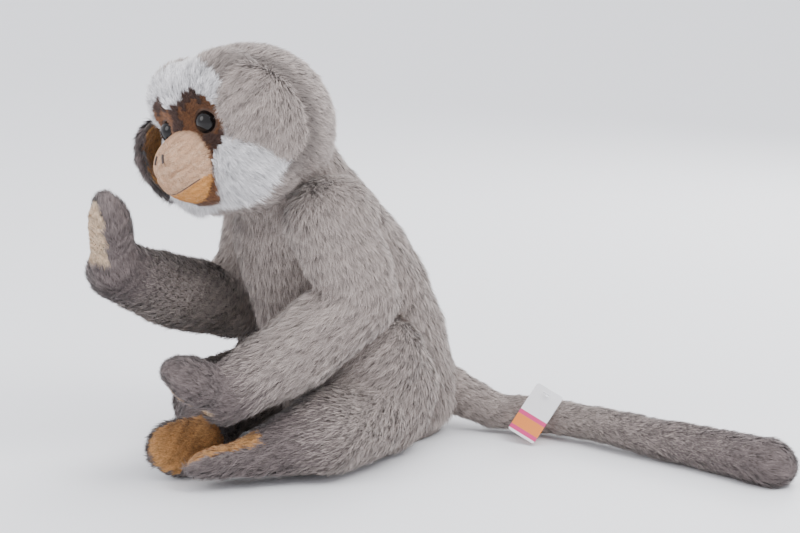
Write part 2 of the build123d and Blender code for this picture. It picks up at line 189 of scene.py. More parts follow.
def add_link(bm, a, b, radius_a, radius_b):
    """A tapered limb between two points, round at both ends."""
    run = b - a
    turn = run.to_track_quat("Z", "Y").to_matrix().to_4x4()
    matrix = Matrix.Translation((a + b) / 2) @ turn
    bmesh.ops.create_cone(bm, cap_ends=True, segments=32, radius1=radius_a, radius2=radius_b,
                          depth=run.length, matrix=matrix)
    add_ball(bm, a, (radius_a,) * 3)
    add_ball(bm, b, (radius_b,) * 3)


def add_band(bm, low, high):
    """Faces between two closed rows of points."""
    for i in range(len(low)):
        j = (i + 1) % len(low)
        bm.faces.new((low[i], low[j], high[j], high[i]))


def body_of_shapes(name, shapes, voxel=0.004, smooth=10):
    """One closed skin round a group of overlapping round shapes."""
    bm = bmesh.new()
    for kind, *facts in shapes:
        if kind == "ball":
            add_ball(bm, *facts)
        elif kind == "link":
            add_link(bm, *facts)
        else:
            facts[0](bm)
    return soften(from_bmesh(name, bm), voxel, smooth, 0.6)


def soften(obj, voxel, rounds, factor):
    """Melt overlapping shapes into one skin and smooth it."""
    remesh = obj.modifiers.new("remesh", "REMESH")
    remesh.mode = "VOXEL"
    remesh.voxel_size = voxel
    relax = obj.modifiers.new("relax", "SMOOTH")
    relax.iterations = rounds
    relax.factor = factor
    graph = bpy.context.evaluated_depsgraph_get()
    mesh = bpy.data.meshes.new_from_object(obj.evaluated_get(graph))
    obj.modifiers.clear()
    obj.data = mesh
    mesh.name = obj.name
    mesh.polygons.foreach_set("use_smooth", [True] * len(mesh.polygons))
    return obj


def rows_of(items, what="co"):
    """A vector that each vertex or face of a mesh has, as rows."""
    flat = np.empty(len(items) * 3)
    items.foreach_get(what, flat)
    return flat.reshape(-1, 3)


def set_points(mesh, co):
    mesh.vertices.foreach_set("co", co.ravel())
    mesh.update()


def rest_on_floor(obj):
    """Flatten what would go below the floor."""
    co = rows_of(obj.data.vertices)
    co[:, 2] = np.maximum(co[:, 2], 0.6 * MM)
    set_points(obj.data, co)


def ripple(points, size):
    """Smooth, repeatable unevenness between -1 and 1 at about a given size."""
    k = 2 * math.pi / size
    x, y, z = (points * k).T
    a = np.sin(x + 1.7 * np.sin(0.6 * y + 0.4)) * np.cos(1.3 * z + 0.9 * np.sin(0.8 * x))
    b = np.sin(0.83 * y - 1.1 * z + 1.3 * np.sin(0.5 * x + 2.1))
    return 0.55 * a + 0.45 * b


def puff(obj, amount, size):
    """Gentle lumps, as loose filling gives."""
    co = rows_of(obj.data.vertices)
    co += rows_of(obj.data.vertices, "normal") * (ripple(co, size) * amount)[:, None]
    set_points(obj.data, co)


def keep_faces(source, name, chosen):
    """A new piece from the faces whose middles are chosen."""
    keep = chosen(rows_of(source.data.polygons, "center"))
    bm = bmesh.new()
    bm.from_mesh(source.data)
    bm.faces.ensure_lookup_table()
    gone = [f for f, k in zip(bm.faces, keep) if not k]
    bmesh.ops.delete(bm, geom=gone, context="FACES")
    return from_bmesh(name, bm)


# ------------------------ pile
DENSITY = 1.0
THICK = 1.9
FINE = 0.72 / math.sqrt(DENSITY) ** 0.6
MOST_STRANDS = 65000
PILE_FLOOR = 0.4 * MM


def pile(name, cover, seed, per_mm2, reach, width, flow, lift=0.45, material=GREY,
         curl=0.4, clump=0.010, trim=None, droop=0.0, shade=None, keep=None):
    """Strands of pile on a cover: flat blades that lean along a flow.

    reach and width are a strand's length and width in millimetres. trim scales the length, shade the
    tone and keep the chance of a strand, each by its root's place. shade carries the painted shade in
    folds and under the ears, and the darker edge of the muzzle.
    """
    rng = np.random.default_rng(seed)
    mesh = cover.data
    mesh.calc_loop_triangles()
    co = rows_of(mesh.vertices)
    normals = rows_of(mesh.vertices, "normal")
    tris = np.empty(len(mesh.loop_triangles) * 3, dtype=np.int32)
    mesh.loop_triangles.foreach_get("vertices", tris)
    tris = tris.reshape(-1, 3)
    a, b, c = co[tris[:, 0]], co[tris[:, 1]], co[tris[:, 2]]
    areas = np.linalg.norm(np.cross(b - a, c - a), axis=1) / 2
    count = int(min(areas.sum() / MM**2 * per_mm2 * THICK, MOST_STRANDS) * DENSITY)
    picks = rng.choice(len(tris), count, p=areas / areas.sum())
    r1, r2 = np.sqrt(rng.random(count)), rng.random(count)
    bary = np.stack([1 - r1, r1 * (1 - r2), r1 * r2], axis=1)
    corners = tris[picks]
    roots = (co[corners] * bary[:, :, None]).sum(1)
    out = unit((normals[corners] * bary[:, :, None]).sum(1))
    if keep is not None:
        chosen = keep(roots) > rng.random(count)
        roots, out = roots[chosen], out[chosen]
        count = len(roots)
    lengths = reach * MM * (0.62 + 0.42 * rng.random(count)) * (1 + 0.18 * ripple(roots, clump * 2.2))
    if trim is not None:
        lengths = lengths * trim(roots)
    way = flow(roots)
    way = unit(way - (way * out).sum(1)[:, None] * out)
    side = np.cross(out, way)
    swing = curl * (ripple(roots, clump) + 0.6 * ripple(roots[:, ::-1] + 0.05, clump * 0.45)
                    + 0.5 * rng.standard_normal(count))
    way = unit(way * np.cos(swing)[:, None] + side * np.sin(swing)[:, None])
    side = np.cross(out, way)
    rise = lift * (1 + 0.35 * ripple(roots + 0.11, clump) + 0.25 * rng.standard_normal(count))
    rise = np.clip(rise, 0.08, 1.6)[:, None]
    first = unit(way + out * rise * 1.5)
    second = unit(way + out * rise * 0.55 + np.array([0, 0, -droop]))
    half = lengths[:, None] * 0.5
    base = roots - out * 0.4 * MM
    knee = base + first * half
    tip = knee + second * half
    roll = rng.uniform(-0.9, 0.9, count)[:, None]
    broad = unit(side * np.cos(roll) + np.cross(first, side) * np.sin(roll))
    wide = (width * FINE * MM / 2 * rng.uniform(0.7, 1.3, count))[:, None]
    verts = np.stack([base - broad * wide, base + broad * wide, knee - broad * wide * 0.8,
                      knee + broad * wide * 0.8, tip], axis=1)
    verts[:, :, 2] = np.maximum(verts[:, :, 2], PILE_FLOOR)
    facing = np.cross(broad, first)
    outward = (facing * out).sum(1) > 0
    verts[~outward] = verts[~outward][:, [1, 0, 3, 2, 4]]
    soft = unit(out * 0.75 + facing * np.where(outward, 1, -1)[:, None] * 0.45 + first * 0.15)
    tone = 0.5 + 0.20 * ripple(roots + 0.31, clump * 1.7) + 0.13 * ripple(roots[:, ::-1], clump * 0.6)
    tone = tone + 0.17 * rng.standard_normal(count)
    # shade scales the tone: painted shade in folds and under the ears, and the muzzle's darker edge.
    if shade is not None:
        tone = tone * shade(roots)
    tone = np.clip(tone, 0.02, 0.98)
    return blades(name, verts, soft, tone, material)


def unit(v):
    return v / np.maximum(np.linalg.norm(v, axis=1), 1e-9)[:, None]


def blades(name, verts, soft, tone, material):
    """One mesh of many strands, each a quad and a triangle over five points."""
    count = len(verts)
    mesh = bpy.data.meshes.new(name)
    mesh.vertices.add(count * 5)
    mesh.vertices.foreach_set("co", verts.ravel())
    start = np.arange(count)[:, None] * 5
    loops = (start + np.array([[0, 1, 3, 2, 2, 3, 4]])).ravel()
    mesh.loops.add(count * 7)
    mesh.loops.foreach_set("vertex_index", loops)
    mesh.polygons.add(count * 2)
    starts = (np.arange(count)[:, None] * 7 + np.array([[0, 4]])).ravel()
    mesh.polygons.foreach_set("loop_start", starts)
    mesh.update(calc_edges=True)
    layer = mesh.uv_layers.new(name="OFBake")
    along = np.array([0.02, 0.02, 0.55, 0.55, 0.55, 0.55, 0.98])
    uv = np.empty((count, 7, 2))
    uv[:, :, 0] = tone[:, None]
    uv[:, :, 1] = along
    layer.data.foreach_set("uv", uv.ravel())
    mesh.polygons.foreach_set("use_smooth", [True] * (count * 2))
    mesh.normals_split_custom_set_from_vertices(np.repeat(soft, 5, axis=0))
    obj = link_object(name, mesh)
    mesh.materials.append(material)
    return obj


def steady(direction):
    """A flow that runs one way all over."""
    d = np.array(direction, float)
    return lambda p: np.repeat(d[None, :], len(p), axis=0)


def dress(obj, nodes, material):
    """Paint a piece and let it stand for CAD nodes."""
    if material is not None:
        obj.data.materials.clear()
        obj.data.materials.append(material)
    if nodes:
        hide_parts(*nodes)


def place(obj, body, slot, *nodes, material=None):
    """A piece that rides on one body."""
    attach(obj, body)
    dress(obj, nodes, material)


def bend(obj, parent, child, start, end, slot, *nodes, material=None):
    """A piece between two bodies, baked into the scene's own space, painted and standing for CAD nodes."""
    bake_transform(obj)
    dress(obj, nodes, material)


def grow(body, slot, *facts, **more):
    """A pile that rides on one body."""
    place(pile(*facts, **more), body, slot)


def limb(route, sizes):
    """Links along a route, with their half-widths in millimetres."""
    return [("link", a, b, ra * MM, rb * MM) for a, b, ra, rb in zip(route, route[1:], sizes, sizes[1:])]


def short_below(p, height):
    """Half-length pile where a piece lies on the floor."""
    return np.where(p[:, 2] < height, 0.5, 1.0)


def lap_depth(p):
    """How far a point lies from a thigh's middle: 1 on the thigh's surface."""
    x = np.abs(p[:, 0]) / MM
    y, z = p[:, 1] / MM, p[:, 2] / MM
    disc = np.sqrt(((x - 62) / 40) ** 2 + ((y + 20) / 58) ** 2 + ((z - 58) / 58) ** 2)
    lap = np.sqrt(((x - 70) / 36) ** 2 + ((y + 26) / 38) ** 2 + ((z - 96) / 37) ** 2)
    return np.minimum(disc, lap)


def painted_lap_shade(p):
    """Painted shade: darker pile in the fold where the torso meets a thigh."""
    return 1 - 0.8 * np.exp(-((lap_depth(p) - 1.04) / 0.17) ** 2)


def painted_waist_shade(p):
    """Painted shade: darker pile on the thigh close to the torso."""
    x, z = np.abs(p[:, 0]) / MM, p[:, 2] / MM
    return 1 - 0.7 * np.exp(-(np.clip(x - 64, 0, 60) / 9) ** 2) * (z > 60)


# ------------------------ torso
# Rings up the torso: height, the middle's y, and the half-sizes in x and y, in millimetres.
TORSO_RINGS = [(0, 30, 50, 64), (14, 27, 60, 76), (35, 24, 67, 84), (80, 12, 61, 88), (120, -2, 59, 88),
               (160, -20, 62, 84), (200, -40, 60, 74), (232, -54, 52, 58), (256, -62, 40, 44)]


def torso_rings(bm):
    """Rings up the leaning back, closed at the seat and the neck."""
    around = 48
    rings = []
    for z, y, half_x, half_y in TORSO_RINGS:
        ring = []
        for i in range(around):
            t = 2 * math.pi * i / around
            ring.append(bm.verts.new((half_x * math.cos(t) * MM, (y + half_y * math.sin(t)) * MM, z * MM)))
        rings.append(ring)
    for low, high in zip(rings, rings[1:]):
        add_band(bm, low, high)
    bm.faces.new(rings[0][::-1])
    bm.faces.new(rings[-1])


def make_torso():
    shapes = [("rings", torso_rings)]
    for side in ("left", "right"):
        joint = Vector(ARM_LINES[side][0]) * MM
        inner = Vector((joint.x * 0.35, joint.y + 14 * MM, joint.z - 4 * MM))
        size = ARM_LINES[side][4][0] * MM
        shapes.append(("ball", joint + Vector((0, 4, 2)) * MM, (size,) * 3))
        shapes.append(("link", inner, joint + Vector((0, 10, -4)) * MM, 38 * MM, size))
    shapes.append(("ball", Vector((0, -68, 248)) * MM, (44 * MM, 46 * MM, 40 * MM)))
    torso = body_of_shapes("torso_cover", shapes, voxel=0.0045, smooth=14)
    puff(torso, 1.2 * MM, 0.07)
    rest_on_floor(torso)

    def flow(p):
        back = np.clip((p[:, 1] + 0.03) / 0.1, -1, 1)
        way = np.stack([np.sign(p[:, 0]) * 0.15, 0.10 * back, -np.ones(len(p))], axis=1)
        low = p[:, 2] < 0.035
        way[low] = np.stack([p[low, 0] * 5, (p[low, 1] - 0.03) * 5, -np.full(low.sum(), 0.4)], axis=1)
        return way

    def is_front(m):
        return m[:, 1] + 0.55 * (m[:, 2] - 0.12) < -0.005

    place(torso, "torso", "grey_plush", "torso_skin", material=GREY_CLOTH)
    front = keep_faces(torso, "front", is_front)
    rear = keep_faces(torso, "rear", lambda m: ~is_front(m))
    for piece, name, seed in ((front, "torso_front_pile", 11), (rear, "torso_back_pile", 12)):
        # The torso's pile gets painted shade in the fold over each thigh.
        grow("torso", "grey_plush", name, piece, seed, 0.95, 15, 0.75, flow, droop=0.15,
             trim=lambda p: short_below(p, 20 * MM) * np.clip(lap_depth(p) - 0.3, 0.4, 1),
             shade=painted_lap_shade, keep=lambda p: (lap_depth(p) > 0.9).astype(float))
        bpy.data.objects.remove(piece)


# ------------------------ arms
# Each arm's line from the shoulder to the lower forearm, and its half-widths there.
ARM_LINES = {
    "left": ((71, -84, 224), (86, -72, 182), (90, -66, 156), (70, -116, 114), (33, 32, 31, 30)),
    "right": ((-60, -50, 216), (-68, -58, 165), (-80, -72, 124), (-66, -146, 146), (30, 27, 29, 29)),
}
HAND_OUT = 31 * MM
HAND_SIZE = (25 * MM, 33 * MM, 16 * MM)
ELBOW_REACH = 34 * MM
PALM_RISE = {"left": 11.5, "right": 8.5}
PALM_HALF_WIDE, PALM_BACK = 20 * MM, -24 * MM
# Where each hand points to, and the way that its palm faces.
HANDS = {"left": ((44, -237, 111), (-0.45, -0.6, -0.65)), "right": ((-46, -232, 243), (-0.3, -0.95, 0))}


def make_arm(side, seed):
    shoulder = JOINTS[side + "_shoulder_swing"]
    elbow = JOINTS[side + "_elbow_bend"]
    wrist = JOINTS[side + "_wrist_bend"]
    tip, palm_way = (Vector(v) for v in HANDS[side])
    reach = (tip * MM - wrist).normalized()
    arm_mid = shoulder.lerp(elbow, 0.5)
    fore_mid = elbow.lerp(wrist, 0.5)
    *line, sizes = ARM_LINES[side]
    line = [Vector(p) * MM for p in line]
    across = reach.cross(palm_way).normalized()
    palm_way = across.cross(reach).normalized()
    basis = Matrix((across, reach, palm_way)).transposed()
    hand_centre = wrist + reach * HAND_OUT
    shapes = limb([*line, wrist], (*sizes, 23)) + limb((wrist, hand_centre), (20, 17))
    shapes.append(("ball", hand_centre + reach * 4 * MM, HAND_SIZE, basis))
    arm = body_of_shapes(side + "_arm", shapes, voxel=0.0035, smooth=9)
    puff(arm, 0.8 * MM, 0.05)
    for_upper = (elbow - shoulder).normalized()
    for_fore = (wrist - elbow).normalized()

    def is_hand(m):
        return (m - np.array(fore_mid)) @ np.array(for_fore) > 0

    def is_upper(m):
        near = (m - np.array(arm_mid)) @ np.array(for_upper) < 0
        return near & ~is_hand(m)

    upper = keep_faces(arm, side + "_upper_arm_cover", is_upper)
    fore = keep_faces(arm, side + "_forearm_cover", lambda m: ~is_upper(m) & ~is_hand(m))
    hand = keep_faces(arm, side + "_hand_cover", is_hand)
    bpy.data.objects.remove(arm)

    elbow_span = (elbow - for_upper * ELBOW_REACH, elbow + for_fore * ELBOW_REACH)
    wrist_span = (wrist - for_fore * 26 * MM, wrist + reach * 20 * MM)

    def turn_flow(first, second, pivot, width):
        """A flow that turns from one way to the next about a joint."""
        a, b = np.array(first), np.array(second)
        line = unit(np.array([second]) + np.array([first]))[0]

        def flow(p):
            t = np.clip(((p - np.array(pivot)) @ line) / width + 0.5, 0, 1)[:, None]
            return a * (1 - t) + b * t
        return flow

    elbow_flow = turn_flow(for_upper, for_fore, elbow, 0.05)
    wrist_flow = turn_flow(for_fore, reach, wrist, 0.04)

    place(upper, side + "_upper_arm", "grey_plush", side + "_upper_arm_skin", side + "_upper_arm_filling",
          side + "_upper_arm_wire", material=GREY_CLOTH)
    grow(side + "_upper_arm", "grey_plush", side + "_upper_arm_pile", upper, seed, 1.0, 14, 0.75,
         steady(for_upper))

    fur = pile(side + "_forearm_pile", fore, seed + 1, 1.0, 13, 0.75, elbow_flow)
    names = (side + "_upper_arm", side + "_forearm")
    bend(fore, *names, *elbow_span, "grey_plush", side + "_forearm_skin",
         side + "_forearm_filling", side + "_forearm_wire", material=GREY_CLOTH)
    bend(fur, *names, *elbow_span, "grey_plush")

    def off_palm(m):
        rel = m - np.array(hand_centre)
        return ~((rel @ np.array(palm_way) > PALM_RISE[side] * MM) & (rel @ np.array(reach) > PALM_BACK)
                 & (np.abs(rel @ np.array(across)) < PALM_HALF_WIDE))

    names = (side + "_forearm", side + "_hand")
    back = keep_faces(hand, side + "_hand_back", off_palm)
    inner = keep_faces(hand, side + "_palm_plush", lambda m: ~off_palm(m))
    dark_from = np.array(fore_mid + for_fore * 34 * MM)

    def darkness(p):
        along = (p - dark_from) @ np.array(for_fore) / MM
        return np.clip(0.5 + along / 60, 0.0, 1.0) ** 1.5

    fur = pile(side + "_wrist_pile", back, seed + 2, 1.05, 12, 0.7, wrist_flow,
               keep=lambda p: 1 - darkness(p))
    bend(fur, *names, *wrist_span, "grey_plush")
    fur = pile(side + "_hand_pile", back, seed + 3, 1.3, 10.5, 0.65, wrist_flow, material=DARK, lift=0.4,
               keep=darkness)
    bend(fur, *names, *wrist_span, "dark_plush")
    fur = pile(side + "_palm_pile", inner, seed + 4, 2.2, 4.5, 0.55, steady(reach), material=CREAM,
               lift=0.8, clump=0.006)
    bend(fur, *names, *wrist_span, "cream_plush")
    bend(back, *names, *wrist_span, "dark_plush", side + "_hand_skin", side + "_hand_filling",
         material=DARK_CLOTH)
    bend(inner, *names, *wrist_span, "cream_plush", side + "_palm", material=CREAM_CLOTH)
    bpy.data.objects.remove(hand)


# ------------------------ legs
# Each leg's knee, ankle and toe.
LEG_POINTS = {"left": ((80, -96, 38), (60, -158, 26), (42, -203, 21)),
              "right": ((-70, -102, 38), (-6, -160, 26), (-7, -205, 22))}
SOLE_WAYS = {"left": (-0.56, -0.1, 0.82), "right": (0.8, -0.1, 0.58)}
FOOT_SIZES = {"left": (23, 34, 12), "right": (26, 33, 14)}
FOOT_OUT = 26 * MM
SOLE_RISE, SOLE_HALF_WIDE, SOLE_BACK = 2.5 * MM, 21 * MM, -34 * MM


def make_leg(side, seed):
    sign = SIGN[side]
    knee, ankle, toe = (Vector(p) * MM for p in LEG_POINTS[side])
    hip = JOINTS[side + "_hip_swing"]
    reach = (toe - ankle).normalized()
    sole_way = Vector(SOLE_WAYS[side])
    across = reach.cross(sole_way).normalized()
    sole_way = across.cross(reach).normalized()
    basis = Matrix((across, reach, sole_way)).transposed()
    foot = ankle + reach * FOOT_OUT
    thigh = hip + Vector((sign * 12, 0, 0)) * MM
    shapes = [
        ("ball", thigh, (38 * MM, 57 * MM, 57 * MM)),
        ("link", hip + Vector((sign * 22, -26, -14)) * MM, knee, 36 * MM, 35 * MM),
        ("link", knee, ankle, 34 * MM, 18 * MM),
        ("link", ankle, foot, 16 * MM, 12 * MM),
        ("ball", foot, tuple(Vector(FOOT_SIZES[side]) * MM), basis),
        ("ball", hip + Vector((sign * 20, -6, 38)) * MM, (36 * MM, 38 * MM, 36 * MM)),
    ]
    leg = body_of_shapes(side + "_leg_cover", shapes, smooth=9)
    puff(leg, 0.9 * MM, 0.06)
    rest_on_floor(leg)
    ways = ((ankle, reach), (knee, (ankle - knee).normalized()), (hip, (0, -0.7, -0.7)),
            (hip + Vector((0, 0.05, 0)), (0, -0.3, -1)))
    stops = np.array([[spot.y, *way] for spot, way in ways])

    def flow(p):
        """The pile turns with the leg, from the thigh to the toes."""
        return np.stack([np.interp(p[:, 1], stops[:, 0], stops[:, i]) for i in (1, 2, 3)], axis=1)

    def off_sole(m):
        rel = m - np.array(foot)
        return ~((rel @ np.array(sole_way) > SOLE_RISE) & (rel @ np.array(reach) > SOLE_BACK)
                 & (np.abs(rel @ np.array(across)) < SOLE_HALF_WIDE))

    body = side + "_leg"
    cover = keep_faces(leg, side + "_leg_cloth", off_sole)
    sole = keep_faces(leg, side + "_sole_plush", lambda m: ~off_sole(m))
    dark_y = knee.y - 10 * MM

    def darkness(p):
        return np.clip(0.5 + (dark_y - p[:, 1]) / (60 * MM), 0, 1) ** 1.3

    def low(p):
        return short_below(p, 12 * MM)

    # The thigh's pile gets painted shade close to the torso.
    grow(body, "grey_plush", side + "_thigh_pile", cover, seed, 1.0, 12, 0.75, flow, trim=low,
         shade=painted_waist_shade, keep=lambda p: 1 - darkness(p))
    grow(body, "dark_plush", side + "_foot_pile", cover, seed + 1, 1.25, 11, 0.7, flow, material=DARK,
         trim=low, keep=darkness)
    grow(body, "orange_plush", side + "_sole_pile", sole, seed + 2, 2.0, 6, 0.6, steady(reach),
         material=ORANGE, lift=0.7, clump=0.007)
    place(cover, body, "grey_plush", side + "_leg_skin", side + "_leg_filling", material=GREY_CLOTH)
    place(sole, body, "orange_plush", side + "_foot_sole", material=ORANGE_CLOTH)
    bpy.data.objects.remove(leg)


# ------------------------ tail
def make_tail():
    root = JOINTS["tail_swing"]
    bend_at = JOINTS["tail_tip_bend"]
    end = Vector((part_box("tail_tip_skin")[1][0] - 31 * MM, 176 * MM, 18 * MM))
    route = [root, Vector((50, 103, 27)) * MM, Vector((70, 114, 19)) * MM, Vector((112, 139, 18)) * MM,
             bend_at, Vector((215, 158, 18.5)) * MM, Vector((290, 170, 18.5)) * MM, end]
    tail = body_of_shapes("tail", limb(route, (19, 17, 14.5, 14, 13.5, 15, 17, 19)), voxel=0.0035, smooth=8)
    puff(tail, 0.8 * MM, 0.04)
    rest_on_floor(tail)
    way_along = (route[5] - route[3]).normalized()
    split = route[3].lerp(bend_at, 0.35)

    def flow(p):
        points = np.array(route)
        steps = points[1:] - points[:-1]
        near = np.argmin(np.linalg.norm(p[:, None, :] - (points[:-1] + steps / 2)[None], axis=2), axis=1)
        return unit(steps)[near]

    def is_base(m):
        return (m - np.array(split)) @ np.array(way_along) < 0

    base = keep_faces(tail, "tail_base_cover", is_base)
    tip = keep_faces(tail, "tail_tip_cover", lambda m: ~is_base(m))

    def darkness(p):
        return np.clip((p[:, 0] - bend_at.x) / MM / 190, 0, 1) ** 0.8

    def longer(p):
        return 1 + 0.35 * np.clip((p[:, 0] - end.x + 0.04) / 0.05, 0, 1)

    span = (bend_at - way_along * 26 * MM, bend_at + way_along * 26 * MM)
    grow("tail_base", "grey_plush", "tail_base_pile", base, 61, 1.1, 10, 0.7, flow, lift=0.35)
    place(base, "tail_base", "grey_plush", "tail_base_skin", "tail_base_filling", material=GREY_CLOTH)
    fur = pile("tail_mid_pile", tip, 62, 1.1, 10, 0.7, flow, lift=0.35,
               keep=lambda p: 1 - darkness(p))
    bend(fur, "tail_base", "tail_tip", *span, "grey_plush")
    fur = pile("tail_tip_pile", tip, 63, 1.25, 10.5, 0.7, flow, material=DARK, lift=0.35, trim=longer,
               keep=darkness)
    bend(fur, "tail_base", "tail_tip", *span, "dark_plush")
    bend(tip, "tail_base", "tail_tip", *span, "dark_plush", "tail_tip_skin", "tail_tip_filling",
         material=DARK_CLOTH)
    bpy.data.objects.remove(tail)


# ------------------------ head
EYES = {side: at_head(sign * 26, 57.5, 16) for side, sign in SIGN.items()}
EYE_CLEAR = 12.0 * MM
# Each ear's place out from the head, to its front and up, its half-sizes, and its way out and front.
EARS = {"left": (78, 35, 15), "right": (80, 44, -3)}
EAR_SIZE = {"left": (29, 42), "right": (29, 34)}
EAR_TURN = {"left": (0.85, 0.50), "right": (0.97, 0.20)}
EAR_DEPTH, EAR_THICK = 14, 3


def off_eyes(p):
    """1 away from the eyes, 0 close round them."""
    far = [np.linalg.norm(p - np.array(spot), axis=1) > EYE_CLEAR for spot in EYES.values()]
    return (far[0] & far[1]).astype(float)


def ear_frame(side):
    """An ear's outermost point, the way it faces away from the head, and its lower end's way."""
    sign = SIGN[side]
    x, front, up = EARS[side]
    lean, forward = EAR_TURN[side]
    outward = (LEFT * sign * lean + FRONT * forward).normalized()
    down = -UP * 0.87 + LEFT * sign * 0.47 - FRONT * 0.15
    down = (down - outward * down.dot(outward)).normalized()
    return at_head(sign * x, front, up), outward, down


def painted_ear_shadow(p):
    """Painted shadow on the pile close behind and below an ear's rim."""
    shade = np.ones(len(p))
    for side in EARS:
        centre, outward, down = ear_frame(side)
        rel = (p - np.array(centre)) / MM
        wide = (rel @ np.array(outward.cross(down))) / (EAR_SIZE[side][0] + 3)
        tall = (rel @ np.array(down)) / (EAR_SIZE[side][1] + 3)
        ring = np.sqrt(wide**2 + tall**2)
        shade *= 1 - 0.85 * np.exp(-((ring - 1.05) / 0.22) ** 2) * (np.abs(rel @ np.array(outward)) < 45)
    return shade


def mask_depth(x, up):
    """Below 1 inside the eye mask, in head millimetres."""
    x = np.abs(x)
    eye = ((x - 22) / 20) ** 2 + ((up - 16) / 27) ** 2
    bridge = np.where((up > -20) & (up < 33), (x / 15) ** 2, 9.0)
    return np.minimum(eye, bridge)


# The parts of the head's surface: piece, CAD node, slot and backing. Their order is region's numbers.
HEAD_COVERS = (
    ("head_cover", "head_skin", "grey_plush", GREY_CLOTH),
    ("brow_cover", "brow_band", "white_plush", WHITE_CLOTH),
    ("ruff_cover", "cheek_ruff", "white_plush", WHITE_CLOTH),
    ("mask_cover", "face_mask", "brown_plush", BROWN_CLOTH),
)


def make_head():
    shapes = [
        ("ball", at_head(0, -4, 6), (70 * MM, 73 * MM, 70 * MM), HEAD_BASIS),
        ("ball", at_head(28, 20, -19), (40 * MM,) * 3),
        ("ball", at_head(-28, 20, -19), (40 * MM,) * 3),
        ("ball", at_head(26, 34, 41), (32 * MM,) * 3),
        ("ball", at_head(-26, 34, 41), (32 * MM,) * 3),
        ("ball", at_head(0, 30, 34), (50 * MM, 40 * MM, 36 * MM), HEAD_BASIS),
        ("ball", at_head(0, 20, -28), (38 * MM, 36 * MM, 28 * MM), HEAD_BASIS),
    ]
    head = body_of_shapes("head", shapes, smooth=12)
    co = rows_of(head.data.vertices)
    h = in_head(co)
    dent = np.zeros(len(co))
    for s in (-1, 1):
        dent += 5.0 * np.exp(-((h[:, 0] - s * 25) ** 2 + (h[:, 2] - 16) ** 2) / 13.0**2) * (h[:, 1] > 20)
    co -= np.array(FRONT)[None] * (dent * MM)[:, None]
    set_points(head.data, co)

    def region(m):
        x, front, up = in_head(m).T
        x = np.abs(x)
        kind = np.zeros(len(m), int)
        cheek = (up < 26) & (front > 17 + 0.8 * np.clip(-20 - up, 0, 60))
        kind[cheek] = 2
        brow = (front > 24) & (((x / 48) ** 2 + ((up - 38) / 31) ** 2) < 1)
        kind[brow] = 1
        kind[(front > 20) & (mask_depth(x, up) < 1)] = 3
        return kind

    covers = [keep_faces(head, parts[0], lambda m, kind=kind: region(m) == kind)
              for kind, parts in enumerate(HEAD_COVERS)]
    bpy.data.objects.remove(head)

    def flow(p):
        x, front, up = in_head(p).T
        away = unit(np.stack([x, np.zeros(len(x)), up], axis=1))
        spread = np.clip(front / 60, 0, 1)[:, None]
        wanted = away * spread + np.array([0, -0.9, 0]) + np.array([0, 0, -0.55]) * (1 - spread)
        return wanted @ np.array([LEFT, FRONT, UP])

    def ruff_flow(p):
        x, _, up = in_head(p).T
        wanted = np.stack([np.sign(x) * (0.3 + 0.4 * np.abs(x) / 50), -np.full(len(x), 0.45),
                           -0.35 - 0.9 * np.clip((20 - up) / 70, 0, 1)], axis=1)
        return wanted @ np.array([LEFT, FRONT, UP])

    def longer(p):
        return 0.8 + 0.45 * np.clip((20 - in_head(p)[:, 2]) / 60, 0, 1)

    # The head's pile gets a painted shadow behind and below each ear's rim.
    grow("head", "grey_plush", "head_pile", covers[0], 21, 1.1, 12, 0.75, flow, shade=painted_ear_shadow,
         keep=off_eyes)
    grow("head", "white_plush", "brow_pile", covers[1], 22, 1.8, 10, 0.65, flow, material=WHITE,
         lift=0.6, keep=off_eyes)
    grow("head", "white_plush", "ruff_pile", covers[2], 23, 1.7, 13, 0.65, ruff_flow, material=WHITE,
         lift=0.5, trim=longer, curl=0.35, keep=off_eyes)

    def is_rim(m):
        x, _, up = in_head(m).T
        top = (mask_depth(x, up) > 0.5) & (up > 18) & (np.abs(x) < 32)
        low = (up < 5) & (np.abs(x) < 40)
        return top | low | (np.abs(x) < 5)

    inner = keep_faces(covers[3], "inner", lambda m: ~is_rim(m))
    rim = keep_faces(covers[3], "rim", is_rim)
    grow("head", "brown_plush", "mask_pile", inner, 24, 3.0, 4, 0.5, flow, material=BROWN, lift=0.7,
         clump=0.006, keep=off_eyes)
    grow("head", "brown_plush", "mask_rim_pile", rim, 25, 3.0, 6, 0.5, flow, material=UMBER, lift=0.8,
         clump=0.006, keep=off_eyes)
    bpy.data.objects.remove(inner)
    bpy.data.objects.remove(rim)
    for cover, (_, node, slot, cloth) in zip(covers, HEAD_COVERS):
        place(cover, "head", slot, node, material=cloth)


# ------------------------ muzzle, stitches, eyes
MUZZLE_WIDE, MUZZLE_TALL, MUZZLE_DEEP = 31, 35, 54
MUZZLE_FRONT, MUZZLE_UP = 42, -16
MUZZLE_BULGE = 0.86
MOUTH_UP = -24


def muzzle_point(theta, phi):
    """A point of the muzzle: theta from the tip, phi round it, in radians."""
    bulk = math.sin(theta) ** MUZZLE_BULGE
    x = MUZZLE_WIDE * bulk * math.cos(phi)
    up = MUZZLE_TALL * bulk * math.sin(phi)
    front = MUZZLE_DEEP * math.cos(theta) ** 0.9
    if up > 0:
        front -= 0.0075 * up * up
    ridge = 2.2 * math.exp(-(x / 1.6) ** 2)
    front += ridge / (1 + math.exp((up - 6) / 2)) / (1 + math.exp((MOUTH_UP - up) / 2))
    if theta > 0.3:
        front -= 2.4 * math.exp(-((up - (MOUTH_UP + 16 + 0.014 * x * x)) / 2.0) ** 2)
    return at_head(x, MUZZLE_FRONT + front, MUZZLE_UP + up)


def mouth_line(x):
    """How high the mouth runs on the muzzle, in millimetres."""
    return MOUTH_UP + 14 * (x / MUZZLE_WIDE) ** 2 + 2


